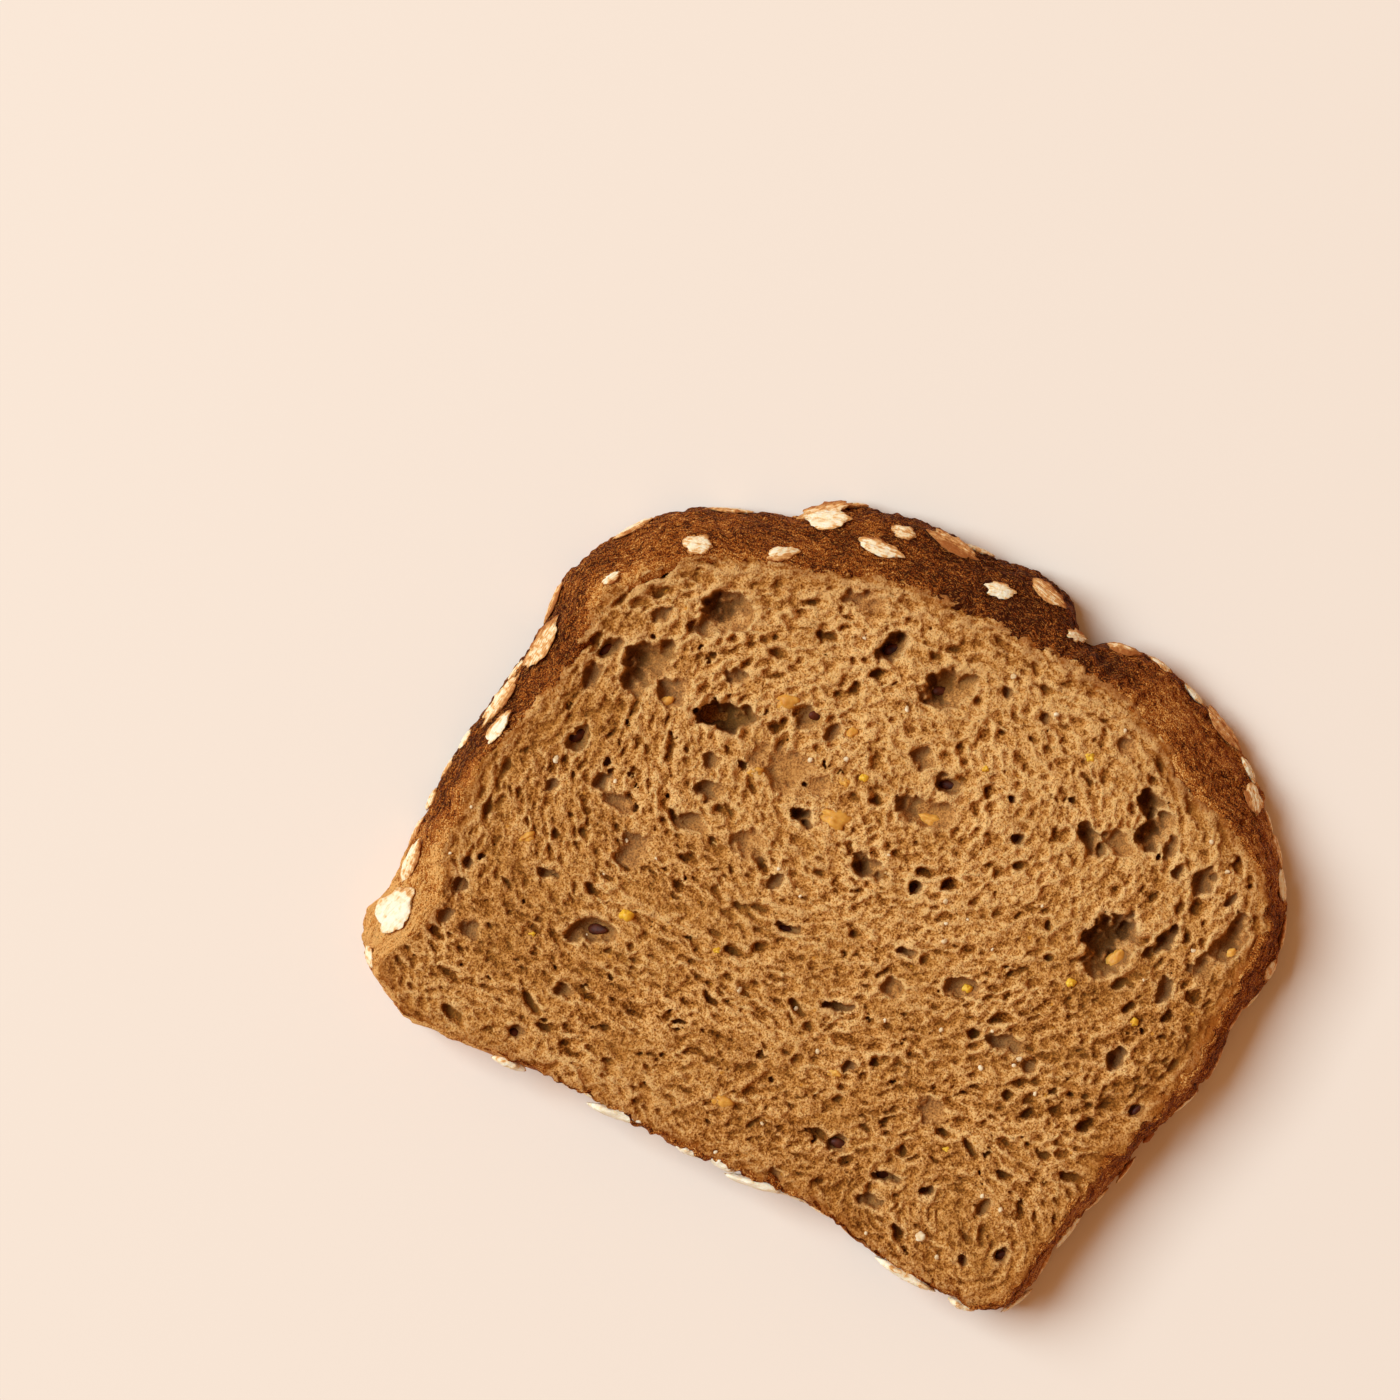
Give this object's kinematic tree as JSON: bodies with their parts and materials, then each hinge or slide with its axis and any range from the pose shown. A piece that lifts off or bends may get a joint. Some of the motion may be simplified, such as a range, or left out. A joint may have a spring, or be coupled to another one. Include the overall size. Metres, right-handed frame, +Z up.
{
  "type": "slice of multigrain bread",
  "caption": "Slice of multigrain tin loaf lying flat, cut face up, with an open crumb, a domed browned crust and rolled oats baked on the crust.",
  "frame": {"origin": "under the middle of the slice, on the surface that it lies on", "axes": "+X along the base crust, to the right when the domed top crust points away; +Y from the base crust towards the top crust; +Z up out of the shown cut face"},
  "size_m": [0.1299, 0.1102, 0.0132],
  "materials": {
    "crumb": "matte, porous, mid tan bread crumb with darker hollows",
    "crust": "satin, finely crackled red-brown crust, lighter low on the flank",
    "oats": "matte cream rolled oats, toasted at their edges",
    "grains": "satin dark flax seeds, amber kernels and yellow grits"
  },
  "bodies": {
    "root": {"bread_slice": "crumb"}
  },
  "joints": []
}
